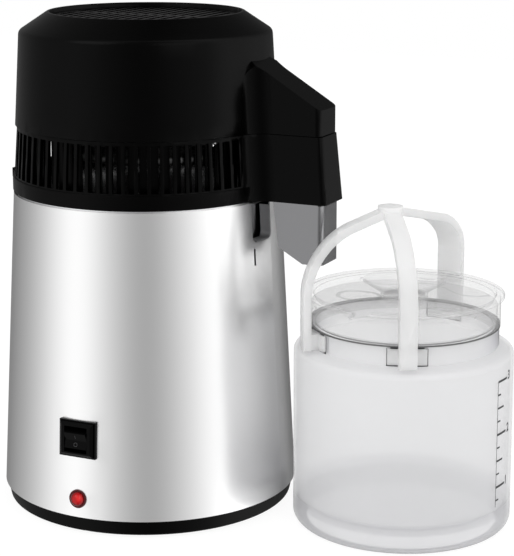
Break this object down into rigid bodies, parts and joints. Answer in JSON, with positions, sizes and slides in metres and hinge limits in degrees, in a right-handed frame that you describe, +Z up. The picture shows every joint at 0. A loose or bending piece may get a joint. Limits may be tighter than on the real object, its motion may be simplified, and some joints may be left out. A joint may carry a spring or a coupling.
{
  "type": "countertop water distiller",
  "caption": "Tapered steel boiling drum with a lift-off black fan head, an outlet nose, a rocker switch and a reset button, beside a frosted collecting jug with a clear lid.",
  "frame": {"origin": "on the worktop, on the axis of the boiling drum, at the level that the feet and the jug stand on", "axes": "+Z up; -Y towards the front with the switch; +X towards the outlet nose and the jug"},
  "size_m": [0.4137, 0.2393, 0.3893],
  "materials": {
    "housing_steel": "satin, drawn smooth",
    "inner_steel": "bright drawn steel",
    "heater_metal": "cast",
    "black_gloss": "high gloss moulding",
    "black_matte": "fine texture",
    "red_plastic": "gloss, slightly translucent",
    "frosted_plastic": "frosted translucent",
    "clear_plastic": "clear, glossy",
    "rubber": "matte",
    "silicone": "matte translucent",
    "screw_steel": "zinc plated",
    "brass": "bright",
    "motor_metal": "plain"
  },
  "bodies": {
    "drum": {"rubber_feet": "rubber", "base_cover": "black_matte", "base_screws": "screw_steel", "housing_brackets": "inner_steel", "outer_housing": "housing_steel", "boiling_pot": "inner_steel", "heater_plate": "heater_metal", "heater_element": "inner_steel", "centre_stud": "screw_steel", "stud_nut": "screw_steel", "heat_shield": "inner_steel", "control_thermostat": "black_matte", "safety_thermostat": "black_matte", "switch_body": "black_matte", "reset_bush": "black_matte", "reset_spring": "screw_steel", "reset_breaker": "black_matte", "power_inlet": "black_matte", "inlet_pins": "brass", "inlet_screws": "screw_steel"},
    "rocker": {"rocker": "black_gloss"},
    "reset_button": {"reset_button": "red_plastic"},
    "head": {"pot_gasket": "silicone", "condenser_pan": "inner_steel", "pan_screws": "screw_steel", "head_shell": "black_gloss", "finger_guard": "black_matte", "spout_shroud": "housing_steel", "shroud_screws": "screw_steel", "fan_socket": "black_matte", "fan_socket_pins": "brass", "head_cover": "black_gloss", "head_screws": "screw_steel", "top_grille": "black_gloss", "condenser_coil": "inner_steel", "outlet_nozzle": "black_matte", "motor_bracket": "inner_steel", "bracket_screws": "screw_steel", "fan_motor": "motor_metal"},
    "fan": {"fan_rotor": "black_matte"},
    "jug": {"jug_body": "frosted_plastic", "jug_handle": "frosted_plastic"},
    "lid": {"jug_lid": "clear_plastic", "lid_funnel": "clear_plastic"}
  },
  "joints": [
    {"name": "head_lift", "type": "slide", "parent": "drum", "child": "head", "axis": [0, 0, 1], "range_m": [0, 0.15]},
    {"name": "fan_spin", "type": "hinge", "parent": "head", "child": "fan", "pos_m": [0, 0, 0.33], "axis": [0, 0, 1], "continuous": true},
    {"name": "rocker_tilt", "type": "hinge", "parent": "drum", "child": "rocker", "pos_m": [0, -0.11237, 0.0752], "axis": [-1, 0, 0], "range_deg": [0, 14]},
    {"name": "reset_press", "type": "slide", "parent": "drum", "child": "reset_button", "axis": [0, 0.9987, -0.051], "range_m": [0, 0.0025], "stiffness_N_per_m": 300, "springref_m": -0.003, "deforming": ["reset_spring"]},
    {"name": "jug_slide", "type": "slide", "parent": "drum", "child": "jug", "axis": [1, 0, 0], "range_m": [0, 0.15]},
    {"name": "jug_lid_lift", "type": "slide", "parent": "jug", "child": "lid", "axis": [0, 0, 1], "range_m": [0, 0.01]}
  ]
}
